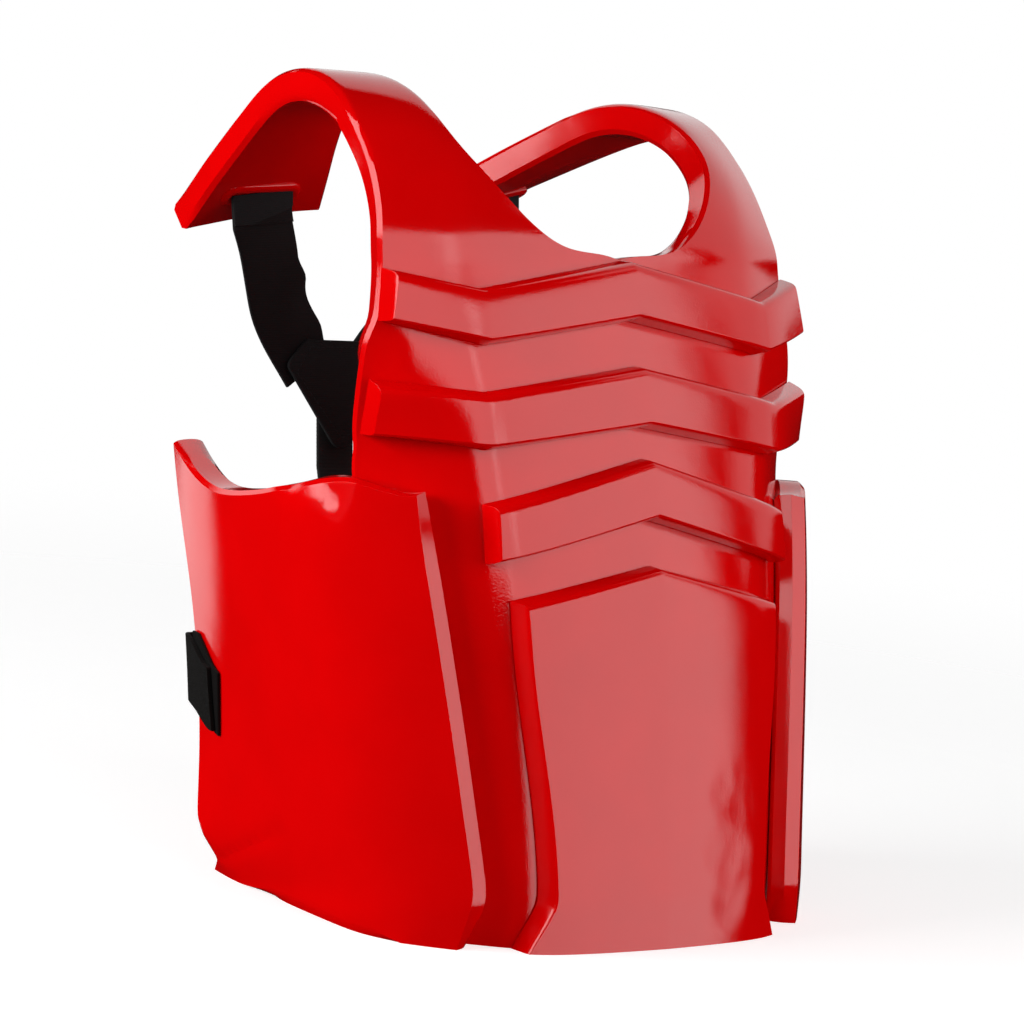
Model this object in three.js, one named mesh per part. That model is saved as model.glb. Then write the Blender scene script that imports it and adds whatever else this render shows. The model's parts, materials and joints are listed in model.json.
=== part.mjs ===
// Chest guard of dipped foam with a black elastic harness, for striking sports.
// Millimetres. Front faces -Y, +X is the wearer's left, +Z is up.
// Every piece is laid out in the worn frame, where the body is upright and the hem rises to the back,
// and the whole guard is then leaned back so that its hem stands flat on a surface.
import * as THREE from "three";

const radians = THREE.MathUtils.degToRad;
const mix = THREE.MathUtils.lerp;

// Sheet thicknesses and gaps
const SHELL_FOAM = 18;
const RAISED_FOAM = 11.7;
const SIDE_FOAM = 17;
const ELASTIC = 2.4;
const WEBBING = 2;
const PATCH = 2.2;
const SEAT_GAP = 0.3;
const FOAM_GAP = 0.6;

// Softened edges of the dipped foam
const SHELL_EDGE = 2.5;
const SIDE_EDGE = 2.5;
const FRONT_BEVEL = 7;
// Rounding of a raised pad: depth below its face, and how far its upper, lower and end edges are drawn in
const RAISED_ROUNDING = [
  { depth: RAISED_FOAM, top: 0, low: 0, end: 0 },
  { depth: 3.2, top: 2.2, low: 0.3, end: 4.2 },
  { depth: 0.9, top: 4.2, low: 0.9, end: 5.2 },
  { depth: 0, top: 6, low: 1.9, end: 6 },
];

// Lean of the standing guard: the hem rises to the back by this angle when worn
const REST_LEAN = radians(9.85);
const HEM_FRONT_Y = -135;

// Shoulder arch, carried on from the top of the chest
const NECK_LOW = 380.5;
const ARCH_FOOT = 386;
const ARCH_RADIUS = 112;
const ARCH_START = radians(81.6);
const CREST = ARCH_FOOT + ARCH_RADIUS * ARCH_START;
const WING_RADIUS = 72;
// The soft wings stand and droop unevenly behind the shoulders
const WING = {
  left: { lift: -2, innerDroop: radians(26), outerDroop: radians(12) },
  right: { lift: 3, innerDroop: radians(34.5), outerDroop: radians(34.5) },
};
const WING_INNER_X = 60;
const WING_OUTER_X = 140;

// Front of the shell, by height: the depth of the centre line, where the front turns to the ribs,
// and how steeply it turns on either side, as the soft wings stand unevenly
const FRONT_ROWS = [
  { up: 0, y: -123, bend: 89, left: 0.9, right: 0.9 },
  { up: 33, y: -126, bend: 89, left: 0.86, right: 0.86 },
  { up: 100, y: -124, bend: 93, left: 0.86, right: 0.86 },
  { up: 200, y: -120.5, bend: 99, left: 0.86, right: 0.86 },
  { up: 250, y: -115, bend: 102, left: 0.84, right: 0.84 },
  { up: 280, y: -111, bend: 103, left: 0.74, right: 0.74 },
  { up: 315, y: -106, bend: 103, left: 0.53, right: 0.53 },
  { up: 345, y: -101, bend: 101, left: 0.42, right: 0.42 },
  { up: 386, y: -95, bend: 101, left: 0.42, right: 0.36 },
  { up: 412, y: -95, bend: 101, left: 0.52, right: 0.36 },
  { up: 450, y: -95, bend: 101, left: 0.56, right: 0.36 },
  { up: 500, y: -95, bend: 101, left: 0.42, right: 0.17 },
  { up: 540, y: -95, bend: 101, left: 0.34, right: 0 },
];
const FRONT_BOW = 1500;
const BEND_SOFTNESS = 20;
const ROLL_START = 140;
const ROLL_RADIUS = 60;
const ROLL_TOP = 330;
const ROLL_FADE = 60;

// Cut edges of the shell from the hem, up the chest and over the shoulder to the end of the wing.
// "in" follows the centre line, the neck and the wing's inner edge, and "out" the ribs, the armhole
// and the wing's outer edge.
const SHELL_ROWS = [
  { inX: 0, inUp: 0, outX: 132, outUp: 0, steps: 2 },
  { inX: 0, inUp: 33, outX: 128, outUp: 33, steps: 6 },
  { inX: 0, inUp: 249, outX: 152, outUp: 249, steps: 2 },
  { inX: 0, inUp: 280, outX: 157.5, outUp: 278, steps: 3 },
  { inX: 0, inUp: 315, outX: 159, outUp: 314, steps: 2 },
  { inX: 0, inUp: 347, outX: 156, outUp: 340, steps: 2 },
  { inX: 0, inUp: NECK_LOW, outX: 152, outUp: 372, steps: 3 },
  { inX: 33, inUp: 383.5, outX: 152, outUp: 385, steps: 2 },
  { inX: 52, inUp: 392, outX: 151, outUp: 398, steps: 2 },
  { inX: 69, inUp: 408, outX: 150, outUp: 414, steps: 2 },
  { inX: 82, inUp: 426, outX: 149, outUp: 432, steps: 2 },
  { inX: 93, inUp: 449, outX: 148, outUp: 452, steps: 2 },
  { inX: 95.5, inUp: 476, outX: 147, outUp: 478, steps: 4 },
  { inX: 91.5, inUp: 541, outX: 145, outUp: 541, steps: 3 },
  { inX: 82.5, inUp: 586, outX: 142, outUp: 586, steps: 4 },
  { inX: 60, inUp: 640, outX: 138, outUp: 656, steps: 2 },
  { inX: 49, inUp: 665, outX: 133, outUp: 691, steps: 0 },
];
// Columns across the shell and its bands: 0 to 1 up to the bend, and 1 to 2 from the bend to the edge
const BEND_COLUMNS = [0, 0.3, 0.6, 0.8, 0.91, 1, 1.12, 1.28, 1.5, 1.7, 1.85, 2];

// Raised chevron bands: heights of both edges on the centre line, at the two valleys and at the uneven ends
const CHEVRONS = {
  chest_band_upper: {
    valleyX: 101, endTopX: 151, endLowX: 154,
    top: { centre: 379, valley: 360, left: 375, right: 370.5 },
    low: { centre: 345, valley: 329, left: 343, right: 341.5 },
  },
  chest_band_lower: {
    valleyX: 103, endTopX: 157, endLowX: 157,
    top: { centre: 320, valley: 304, left: 316, right: 310.5 },
    low: { centre: 286, valley: 272.5, left: 282, right: 281 },
  },
};
const BAND_ROWS = [0, 0.33, 0.67, 1];

// Short band over the belly and the belly panel: half widths and heights
const BELLY_BAND = { halfWidth: 106.5, topCentre: 269, topEnd: 243.5, lowCentre: 235, lowEnd: 211 };
const BELLY_BAND_COLUMNS = [0, 0.28, 0.52, 0.7, 0.8, 0.88, 0.94, 1];
const BELLY_TOP = { centre: 210, corner: 191.5 };
const BELLY_SIDES = [
  { share: 0, halfWidth: 92 },
  { share: 0.13, halfWidth: 80.5 },
  { share: 0.16, halfWidth: 80 },
  { share: 1, halfWidth: 94.5 },
];
const BELLY_COLUMNS = [0, 0.3, 0.6, 0.8, 0.91, 1];
const BELLY_ROWS = [0, 0.065, 0.13, 0.16, 0.33, 0.5, 0.67, 0.84, 1];

// Side panels, by height: front edge on the shell, where the panel leaves the shell, the turn to the flank,
// and the curl and length of the tail at the back
const FLANK_ROWS = [
  { up: 0, frontX: 113, leaveX: 133, turnRadius: 38, tailRadius: 800, tail: 138 },
  { up: 33, frontX: 105, leaveX: 129, turnRadius: 38, tailRadius: 750, tail: 138 },
  { up: 58, frontX: 107.7, leaveX: 131.6, turnRadius: 38, tailRadius: 2100, tail: 138 },
  { up: 75, frontX: 109.6, leaveX: 133.4, turnRadius: 38, tailRadius: 1300, tail: 138.5 },
  { up: 110, frontX: 113.5, leaveX: 137, turnRadius: 38, tailRadius: 590, tail: 139 },
  { up: 170, frontX: 121, leaveX: 144, turnRadius: 38, tailRadius: 425, tail: 140 },
  { up: 250, frontX: 130.5, leaveX: 155, turnRadius: 37, tailRadius: 345, tail: 147 },
  { up: 300, frontX: 135, leaveX: 159, turnRadius: 37, tailRadius: 305, tail: 151 },
];
// Top edge of a side panel under the arm, along the panel from its front edge to its rear tip
const RIM = [
  { along: 0, up: 249.5 },
  { along: 0.06, up: 248.5 },
  { along: 0.19, up: 260 },
  { along: 0.34, up: 255.5 },
  { along: 0.51, up: 252 },
  { along: 0.64, up: 252 },
  { along: 0.82, up: 262 },
  { along: 1, up: 281 },
];
const FLANK_COLUMNS = [0, 0.05, 0.11, 0.17, 0.23, 0.29, 0.36, 0.46, 0.57, 0.68, 0.79, 0.9, 1];
const FLANK_LEVELS = [0, 0.05, 0.1, 0.15, 0.3, 0.45, 0.6, 0.75, 0.88, 1];
// The rear corner of the hem is cut in above the lip
const TAIL_NOTCH = { above: 11, reach: 12, depth: 17, sharpness: 8 };

// Back of the harness. The waist strap bends round the end of a side panel and crosses to the spine.
const STRAP_BEND = 5;
const BACK_HEADING = radians(161);
const WAIST = { endLow: 117, low: 132, endHigh: 153, high: 171, taper: 28, onPanel: 28 };
// Stations along the strap: 0 to 1 over the panel, 1 to 2 round its end, 2 to 3 across the back
const SPINE = 3;
const WAIST_STATIONS = [0, 0.2, 0.4, 0.7, 1, 1.33, 1.67, 2, 2.12, 2.25, 2.4, 2.55, 2.7, 2.85, SPINE];
const STRAP_PATCH = { endLow: 114, low: 130, endHigh: 150, high: 173, taper: 28, from: 35, to: 3, lean: 5 };
const PATCH_COLUMNS = [0, 0.25, 0.5, 0.75, 1];
const STRAP_LEVELS = [0, 0.5, 1];
// Shoulder strap: the slit in the wing that it hangs from, then its middle line on the wearer's left
// down to the yoke, and the way its face looks
const SLIT = { clear: 0.4, drop: 12, faceX: -0.2, faceY: 0.95, faceZ: 0.2 };
const SLIT_PLACE = { left: { x: 88, up: 657 }, right: { x: 101.5, up: 652 } };
const SHOULDER_STRAP = { width: 38, sections: 11 };
const SHOULDER_ROUTE = [
  { x: 89.5, y: 109, z: 396, faceX: -0.08, faceY: 0.9, faceZ: 0.3 },
  { x: 68, y: 130, z: 374, faceX: -0.12, faceY: 0.95, faceZ: 0.25 },
  { x: 51.5, y: 148.5, z: 355.5, faceX: 0.15, faceY: 0.97, faceZ: 0.15 },
  { x: 33, y: 154.4, z: 337, faceX: 0, faceY: 1, faceZ: 0.02 },
  { x: 22.5, y: 154.6, z: 323, faceX: 0, faceY: 1, faceZ: 0 },
];
const YOKE = { y: 149.6, thickness: 2.4 };
const YOKE_CORNERS = [
  { x: 27, z: 341 },
  { x: 42, z: 326 },
  { x: 5, z: 277 },
];
const BACK_STRAP = { width: 27, topZ: 326, bottomZ: 126, y: 156.1, joinZ: 270, steps: 10 };

// Smooth run through a table's column that never swings past its rows
function read(rows, key, column, at) {
  const last = rows.length - 1;
  if (at <= rows[0][key]) return rows[0][column];
  if (at >= rows[last][key]) return rows[last][column];
  let i = 0;
  while (at > rows[i + 1][key]) i += 1;
  const step = (k) => rows[k + 1][key] - rows[k][key];
  const rise = (k) => (rows[k + 1][column] - rows[k][column]) / step(k);
  const tangent = (k) => {
    if (k === 0 || k === last || rise(k - 1) * rise(k) <= 0) return 0;
    const before = step(k - 1);
    const after = step(k);
    const weights = [2 * after + before, after + 2 * before];
    return (weights[0] + weights[1]) / (weights[0] / rise(k - 1) + weights[1] / rise(k));
  };
  const h = step(i);
  const t = (at - rows[i][key]) / h;
  const start = rows[i][column] * (1 + 2 * t) * (1 - t) ** 2 + tangent(i) * h * t * (1 - t) ** 2;
  return start + rows[i + 1][column] * t * t * (3 - 2 * t) - tangent(i + 1) * h * t * t * (1 - t);
}

// Small steps over which slopes are measured: in mm over a sheet, in stations, and in rows of a route
const SHEET_STEP = 0.4;
const STATION_STEP = 0.01;
const ROUTE_STEP = 0.05;

const HEM_PASSES = 4;
const HEM_SNAP = 1;
const hemHeight = (y) => (y - HEM_FRONT_Y) * Math.tan(REST_LEAN);

// Side view of the shell: up the chest, over the shoulder arch and down the straight end of a wing
function profile(x, up) {
  const foot = { y: read(FRONT_ROWS, "up", "y", up), z: Math.min(up, ARCH_FOOT) };
  if (up <= ARCH_FOOT) return foot;
  const crestward = Math.min(up, CREST) - ARCH_FOOT;
  const front = ARCH_START - crestward / ARCH_RADIUS;
  const wing = x > 0 ? WING.left : WING.right;
  const lift = wing.lift * THREE.MathUtils.smoothstep(up, ARCH_FOOT, CREST);
  const y = foot.y + ARCH_RADIUS * (Math.sin(ARCH_START) - Math.sin(front));
  const z = foot.z + ARCH_RADIUS * (Math.cos(front) - Math.cos(ARCH_START)) + lift;
  const beyond = Math.max(up - CREST, 0);
  const outward = THREE.MathUtils.clamp((Math.abs(x) - WING_INNER_X) / (WING_OUTER_X - WING_INNER_X), 0, 1);
  const droop = Math.min(beyond / WING_RADIUS, mix(wing.innerDroop, wing.outerDroop, outward));
  const straight = beyond - droop * WING_RADIUS;
  return {
    y: y + WING_RADIUS * Math.sin(droop) + straight * Math.cos(droop),
    z: z - WING_RADIUS * (1 - Math.cos(droop)) - straight * Math.sin(droop),
  };
}

// Outer face of the shell over a flat pattern: x across, "up" from the hem and then along the shoulder
function shellPoint(x, up) {
  const slope = read(FRONT_ROWS, "up", x > 0 ? "left" : "right", up);
  const past = Math.abs(x) - read(FRONT_ROWS, "up", "bend", up);
  const hinge = (past + Math.hypot(past, BEND_SOFTNESS)) / 2;
  const rollShare = THREE.MathUtils.clamp((ROLL_TOP - up) / ROLL_FADE, 0, 1);
  const roll = rollShare * Math.max(0, Math.abs(x) - ROLL_START) ** 2 / (2 * ROLL_RADIUS);
  const flatShare = THREE.MathUtils.clamp((CREST - up) / (CREST - ARCH_FOOT), 0, 1);
  const bow = flatShare * x * x / (2 * FRONT_BOW) + slope * hinge + roll;
  const { y, z } = profile(x, up);
  return new THREE.Vector3(x, y + bow, z);
}

// Point raised off a surface along its normal, where right x up points out of the body
function raised(surface, a, b, offset, stepA, stepB) {
  const right = surface(a + stepA, b).sub(surface(a - stepA, b));
  const up = surface(a, b + stepB).sub(surface(a, b - stepB));
  return surface(a, b).addScaledVector(right.cross(up).normalize(), offset);
}

const offShell = (x, up, offset) => raised(shellPoint, x, up, offset, SHEET_STEP, SHEET_STEP);

// Height along the pattern at which the shell meets the hem's plane
function hemUp(x) {
  let up = 0;
  for (let pass = 0; pass < HEM_PASSES; pass += 1) up = hemHeight(shellPoint(x, up).y);
  return up;
}

function onHem(point) {
  point.z = hemHeight(point.y);
  return point;
}

// Lays the softened corners of a lower edge back on the hem's plane
function hemCorners(edge) {
  return (point) => (point.z - hemHeight(point.y) < edge + HEM_SNAP ? onHem(point) : point);
}

// Closed solid from a sheet of quads. The rings run from the back face to the front face. Each gives
// its distance off the sheet, and the inset of the cut edge where that is the same all round.
class FoamSheet {
  constructor() {
    this.names = new Map();
    this.places = [];
    this.quads = [];
  }

  // place gives the point of this corner on a ring
  corner(name, place) {
    if (!this.names.has(name)) {
      this.names.set(name, this.places.length);
      this.places.push(place);
    }
    return this.names.get(name);
  }

  grid(columns, rows, place, nameOf = (c, r) => `${c} ${r}`) {
    const corner = (s, t, name) => this.corner(name, (ring) => place(s, t, ring));
    const ids = rows.map((t, r) => columns.map((s, c) => corner(s, t, nameOf(c, r))));
    for (let r = 0; r + 1 < rows.length; r += 1) {
      for (let c = 0; c + 1 < columns.length; c += 1) {
        this.quads.push([ids[r][c], ids[r][c + 1], ids[r + 1][c + 1], ids[r + 1][c]]);
      }
    }
    return this;
  }

  cutEdges() {
    const edges = new Map();
    for (const quad of this.quads) {
      quad.forEach((a, k) => edges.set(`${a} ${quad[(k + 1) % 4]}`, [a, quad[(k + 1) % 4]]));
    }
    return [...edges.values()].filter(([a, b]) => !edges.has(`${b} ${a}`));
  }

  // Corners on one ring, with the cut edge drawn in by its inset
  layer(ring, edges) {
    const flat = this.places.map((place) => place(ring));
    const inward = new Map(edges.flat().map((id) => [id, new THREE.Vector3()]));
    for (const quad of this.quads) {
      const middle = quad.reduce((sum, id) => sum.add(flat[id]), new THREE.Vector3()).divideScalar(4);
      for (const id of quad) inward.get(id)?.add(middle.clone().sub(flat[id]).normalize());
    }
    return flat.map((point, id) => {
      const way = inward.get(id);
      return way && ring.inset > 0 ? point.clone().addScaledVector(way.normalize(), ring.inset) : point;
    });
  }

  geometry(rings, settle = (point) => point) {
    const edges = this.cutEdges();
    const layers = rings.map((ring) => this.layer(ring, edges));
    const positions = layers.flat().map((point) => settle(point));
    const count = this.places.length;
    const front = (rings.length - 1) * count;
    const index = [];
    const addQuad = (a, b, c, d) => index.push(a, b, c, a, c, d);
    for (const [a, b, c, d] of this.quads) {
      addQuad(front + a, front + b, front + c, front + d);
      addQuad(d, c, b, a);
    }
    for (let k = 0; k + 1 < rings.length; k += 1) {
      const [low, high] = [k * count, (k + 1) * count];
      for (const [a, b] of edges) addQuad(low + a, low + b, high + b, high + a);
    }
    const used = [...new Set(index)];
    const slot = new Map(used.map((id, k) => [id, k]));
    const geometry = new THREE.BufferGeometry();
    const coordinates = used.flatMap((id) => positions[id].toArray());
    geometry.setAttribute("position", new THREE.Float32BufferAttribute(coordinates, 3));
    geometry.setIndex(index.map((id) => slot.get(id)));
    geometry.computeVertexNormals();
    return geometry;
  }
}

const bothSides = (shares) => [...shares.slice(1).reverse().map((s) => -s), ...shares];

const RAISED_RINGS = RAISED_ROUNDING.map((ring) => ({ ...ring, off: FOAM_GAP + RAISED_FOAM - ring.depth }));

// Share of the way from a raised pad's lower edge to its upper edge, drawn in at both
const drawnIn = (t, height, { low, top }) => mix(low / height, 1 - top / height, t);

const flatRings = (back, front) => [{ off: back }, { off: front }];

const softRings = (back, front, edge) => [
  { inset: edge, off: back },
  { inset: 0, off: back + edge },
  { inset: 0, off: front - edge },
  { inset: edge, off: front },
];

// Distance from the centre line for a column between two edges, with a column on the bend
function across(inX, bendX, outX, column) {
  return column < 1 ? mix(inX, bendX, column) : mix(bendX, outX, column - 1);
}

// Shell with both wings: two half sheets that share the centre line below the neck
function frontShell() {
  const marks = SHELL_ROWS.map((row, k) => ({ ...row, k }));
  const stations = SHELL_ROWS.flatMap((row, k) =>
    Array.from({ length: row.steps }, (_, n) => k + n / row.steps)).concat(SHELL_ROWS.length - 1);
  const sheet = new FoamSheet();
  for (const side of [1, -1]) {
    const place = (column, station, { off }) => {
      const [inX, outX] = ["inX", "outX"].map((key) => read(marks, "k", key, station));
      const [inUp, outUp] = ["inUp", "outUp"].map((key) => read(marks, "k", key, station));
      const up = mix(inUp, outUp, column / 2);
      const bendX = Math.max(read(FRONT_ROWS, "up", "bend", up), (inX + outX) / 2);
      const x = side * across(inX, bendX, outX, column);
      if (station === 0) return onHem(offShell(x, hemUp(x), off));
      return offShell(x, up, off);
    };
    const neckRow = stations.findIndex((station) => read(marks, "k", "inX", station) > 0) - 1;
    const columns = side > 0 ? BEND_COLUMNS : [...BEND_COLUMNS].reverse();
    const name = (c, r) => {
      const column = columns[c];
      return column === 0 && r <= neckRow ? `centre ${r}` : `${side} ${column} ${r}`;
    };
    sheet.grid(columns, stations, place, name);
  }
  return sheet.geometry(softRings(-SHELL_FOAM, 0, SHELL_EDGE), hemCorners(SHELL_EDGE));
}

// Height of a chevron's edge at x, straight from the centre to the valley and from the valley to the end
function chevronEdge(edge, band, endX, x) {
  const away = Math.abs(x);
  if (away < band.valleyX) return mix(edge.centre, edge.valley, away / band.valleyX);
  const end = x > 0 ? edge.left : edge.right;
  return mix(edge.valley, end, (away - band.valleyX) / (endX - band.valleyX));
}

function chevronBand(band) {
  const place = (column, t, ring) => {
    const endX = mix(band.endLowX, band.endTopX, t);
    const x = Math.sign(column) * across(0, band.valleyX, endX - ring.end, Math.abs(column));
    const low = chevronEdge(band.low, band, endX, x);
    const top = chevronEdge(band.top, band, endX, x);
    return offShell(x, mix(low, top, drawnIn(t, top - low, ring)), ring.off);
  };
  return new FoamSheet().grid(bothSides(BEND_COLUMNS), BAND_ROWS, place).geometry(RAISED_RINGS);
}

function bellyBand() {
  const place = (share, t, ring) => {
    const away = Math.abs(share);
    const low = mix(BELLY_BAND.lowCentre, BELLY_BAND.lowEnd, away);
    const top = mix(BELLY_BAND.topCentre, BELLY_BAND.topEnd, away);
    const up = mix(low, top, drawnIn(t, top - low, ring));
    return offShell(share * (BELLY_BAND.halfWidth - ring.end), up, ring.off);
  };
  return new FoamSheet().grid(bothSides(BELLY_BAND_COLUMNS), BAND_ROWS, place).geometry(RAISED_RINGS);
}

function bellyPanel() {
  const place = (share, t, ring) => {
    const x = share * (read(BELLY_SIDES, "share", "halfWidth", t) - ring.end);
    const top = mix(BELLY_TOP.centre, BELLY_TOP.corner, Math.abs(share));
    const point = offShell(x, mix(hemUp(x), top - ring.top, t), ring.off);
    return t === 0 ? onHem(point) : point;
  };
  return new FoamSheet().grid(bothSides(BELLY_COLUMNS), BELLY_ROWS, place).geometry(RAISED_RINGS);
}

// One arc of a plan curve walked from a point with a heading
function walkArc(from, radius, length) {
  const heading = from.heading + length / radius;
  return {
    x: from.x + radius * (Math.sin(heading) - Math.sin(from.heading)),
    y: from.y + radius * (Math.cos(from.heading) - Math.cos(heading)),
    heading,
  };
}

// Plan of the left flank at one height, as lengths of its stretches
function flankPlan(up) {
  const columns = Object.keys(FLANK_ROWS[0]);
  const row = Object.fromEntries(columns.map((key) => [key, read(FLANK_ROWS, "up", key, up)]));
  const leave = shellPoint(row.leaveX, up);
  const ahead = shellPoint(row.leaveX + SHEET_STEP, up).sub(leave);
  const start = { x: leave.x, y: leave.y, heading: Math.atan2(ahead.y, ahead.x) };
  const front = shellPoint(row.frontX, up);
  const lap = Math.hypot(leave.x - front.x, leave.y - front.y);
  const turn = row.turnRadius * (Math.PI / 2 - start.heading);
  const side = walkArc(start, row.turnRadius, turn);
  const tail = walkArc(side, row.tailRadius, row.tail);
  return { ...row, lap, turn, start, side, tailEnd: tail, panel: lap + turn + row.tail };
}

// Point of the flank's plan at a length from the panel's front edge
function flankPoint(length, up) {
  const plan = flankPlan(up);
  if (length <= plan.lap) return shellPoint(mix(plan.frontX, plan.leaveX, length / plan.lap), up);
  const past = length - plan.lap;
  const spot = past <= plan.turn
    ? walkArc(plan.start, plan.turnRadius, past)
    : walkArc(plan.side, plan.tailRadius, past - plan.turn);
  return new THREE.Vector3(spot.x, spot.y, up);
}

const offFlank = (length, up, off) => raised(flankPoint, length, up, off, SHEET_STEP, SHEET_STEP);

// A left-hand sheet, or its mirror image for the wearer's right
function sideSheet(side, columns, rows, place) {
  const order = side > 0 ? columns : [...columns].reverse();
  return new FoamSheet().grid(order, rows, (s, t, ring) => {
    const point = place(s, t, ring);
    point.x *= side;
    return point;
  });
}

// Height along the flank at which a panel meets the hem's plane
function flankHem(along) {
  let up = 0;
  for (let pass = 0; pass < HEM_PASSES; pass += 1) {
    up = hemHeight(flankPoint(along * flankPlan(up).panel, up).y);
  }
  return up;
}

// Side panel with a bevelled front edge
function sidePanel(side) {
  const face = FOAM_GAP + SIDE_FOAM;
  const place = (along, t, ring) => {
    const up = flankHem(along);
    const level = mix(up, read(RIM, "along", "up", along), t);
    const above = level - up;
    const cut = Math.max(0, 1 - Math.abs(above - TAIL_NOTCH.above) / TAIL_NOTCH.reach);
    const notch = above < TAIL_NOTCH.above ? above / TAIL_NOTCH.above : cut * cut;
    const bite = TAIL_NOTCH.depth * notch * along ** TAIL_NOTCH.sharpness;
    const length = along * flankPlan(level).panel - bite;
    if (along > 0) return offFlank(length, level, ring.off);
    if (ring.off === face) return offFlank(FRONT_BEVEL - SIDE_EDGE, level, face);
    return offFlank(length, level, Math.min(ring.off, face - FRONT_BEVEL));
  };
  return sideSheet(side, FLANK_COLUMNS, FLANK_LEVELS, place)
    .geometry(softRings(FOAM_GAP, face, SIDE_EDGE), hemCorners(SIDE_EDGE));
}

const PATCH_SEAT = FOAM_GAP + SIDE_FOAM + SEAT_GAP;
const STRAP_SEAT = PATCH_SEAT + PATCH + SEAT_GAP;

// Height across a strap or patch, which falls towards its front end
function strapHeight({ endLow, low, endHigh, high, taper }, fromEnd, level) {
  const rise = THREE.MathUtils.smoothstep(fromEnd, 0, taper);
  return mix(mix(endLow, low, rise), mix(endHigh, high, rise), level);
}

function strapPatch(side) {
  const reach = STRAP_PATCH.from - STRAP_PATCH.to;
  const place = (t, level, { off }) => {
    const up = strapHeight(STRAP_PATCH, t * reach, level);
    const lean = STRAP_PATCH.lean * (1 - level) * (1 - t);
    return offFlank(flankPlan(up).panel - STRAP_PATCH.from + t * reach + lean, up, off);
  };
  return sideSheet(side, PATCH_COLUMNS, STRAP_LEVELS, place)
    .geometry(flatRings(PATCH_SEAT, PATCH_SEAT + PATCH));
}

// Inner face of the waist strap at a station and a height
function strapPoint(station, up) {
  const plan = flankPlan(up);
  if (station <= 1) return offFlank(plan.panel - WAIST.onPanel * (1 - station), up, STRAP_SEAT);
  const { x, y, heading } = plan.tailEnd;
  const end = { x: x + STRAP_SEAT * Math.sin(heading), y: y - STRAP_SEAT * Math.cos(heading), heading };
  const bend = STRAP_BEND * (BACK_HEADING - heading);
  const turned = walkArc(end, STRAP_BEND, bend * Math.min(station - 1, 1));
  const radius = turned.x / Math.sin(turned.heading);
  const spot = walkArc(turned, radius, radius * (Math.PI - turned.heading) * Math.max(station - 2, 0));
  return new THREE.Vector3(spot.x, spot.y, up);
}

const offStrap = (station, up, off) => raised(strapPoint, station, up, off, STATION_STEP, SHEET_STEP);

// Strap from one side panel round the back to the other, pressed on both patches
function waistStrap() {
  const far = WAIST_STATIONS.slice(0, -1).reverse().map((station) => 2 * SPINE - station);
  const place = (station, level, { off }) => {
    const near = Math.min(station, 2 * SPINE - station);
    const point = offStrap(near, strapHeight(WAIST, near * WAIST.onPanel, level), off);
    if (station === SPINE) point.x = 0;
    if (station > SPINE) point.x *= -1;
    return point;
  };
  return new FoamSheet().grid([...WAIST_STATIONS, ...far], STRAP_LEVELS, place)
    .geometry(flatRings(0, ELASTIC));
}

// Point just under a wing, as seen on the wearer's left
function underWing(side, x, up) {
  const point = offShell(side * x, up, -SHELL_FOAM - SLIT.clear);
  point.x *= side;
  return point;
}

// Flat strap that hangs straight down out of its slit and then runs on to the yoke, with its face turned
// as the rows say and its top edge cut to lie along the wing
function shoulderStrap(side) {
  const { x, up } = side > 0 ? SLIT_PLACE.left : SLIT_PLACE.right;
  const slit = underWing(side, x, up);
  const outward = underWing(side, x + SHEET_STEP, up).sub(slit);
  const wing = outward.cross(underWing(side, x, up + SHEET_STEP).sub(slit));
  const start = { ...SLIT, x: slit.x, y: slit.y, z: slit.z };
  const route = [start, { ...start, z: slit.z - SLIT.drop }, ...SHOULDER_ROUTE];
  const marks = route.map((row, k) => ({ ...row, k }));
  const last = marks.length - 1;
  const vector = (keys, k) => new THREE.Vector3(...keys.map((key) => read(marks, "k", key, k)));
  const at = (k) => vector(["x", "y", "z"], k);
  const count = SHOULDER_STRAP.sections;
  const steps = Array.from({ length: count }, (_, n) => n / (count - 1));
  const place = (edge, along, { off }) => {
    const k = along * last;
    const way = at(Math.min(k + ROUTE_STEP, last)).sub(at(Math.max(k - ROUTE_STEP, 0))).normalize();
    const face = vector(["faceX", "faceY", "faceZ"], k);
    face.addScaledVector(way, -face.dot(way)).normalize();
    const width = face.clone().cross(way).normalize();
    const point = at(k).addScaledVector(width, edge * SHOULDER_STRAP.width / 2).addScaledVector(face, off);
    if (along === 0) point.z -= wing.dot(point.clone().sub(slit)) / wing.z;
    return point;
  };
  return sideSheet(side, [1, 0, -1], steps, place).geometry(flatRings(-ELASTIC / 2, ELASTIC / 2));
}

function yokePatch() {
  const left = YOKE_CORNERS.map(({ x, z }) => new THREE.Vector2(x, z));
  const right = [...YOKE_CORNERS].reverse().map(({ x, z }) => new THREE.Vector2(-x, z));
  const outline = new THREE.Shape([...left, ...right]);
  const geometry = new THREE.ExtrudeGeometry(outline, { depth: YOKE.thickness, bevelEnabled: false });
  return geometry.rotateX(Math.PI / 2).translate(0, YOKE.y + YOKE.thickness, 0);
}

// Webbing from the back of the yoke down over the outside of the waist strap
function backStrap() {
  const rows = Array.from({ length: BACK_STRAP.steps + 1 }, (_, k) => k / BACK_STRAP.steps);
  const onWaist = (z) => THREE.MathUtils.clamp(z, WAIST.low, WAIST.high);
  const overWaist = (z) => strapPoint(SPINE, onWaist(z)).y + ELASTIC + 2 * SEAT_GAP;
  const place = (share, t, { off }) => {
    const z = mix(BACK_STRAP.bottomZ, BACK_STRAP.topZ, t);
    const y = mix(overWaist(z), BACK_STRAP.y, THREE.MathUtils.smoothstep(z, WAIST.high, BACK_STRAP.joinZ));
    return new THREE.Vector3(-share * BACK_STRAP.width / 2, y + off, z);
  };
  return new FoamSheet().grid([-1, 0, 1], rows, place).geometry(flatRings(0, WEBBING));
}

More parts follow.
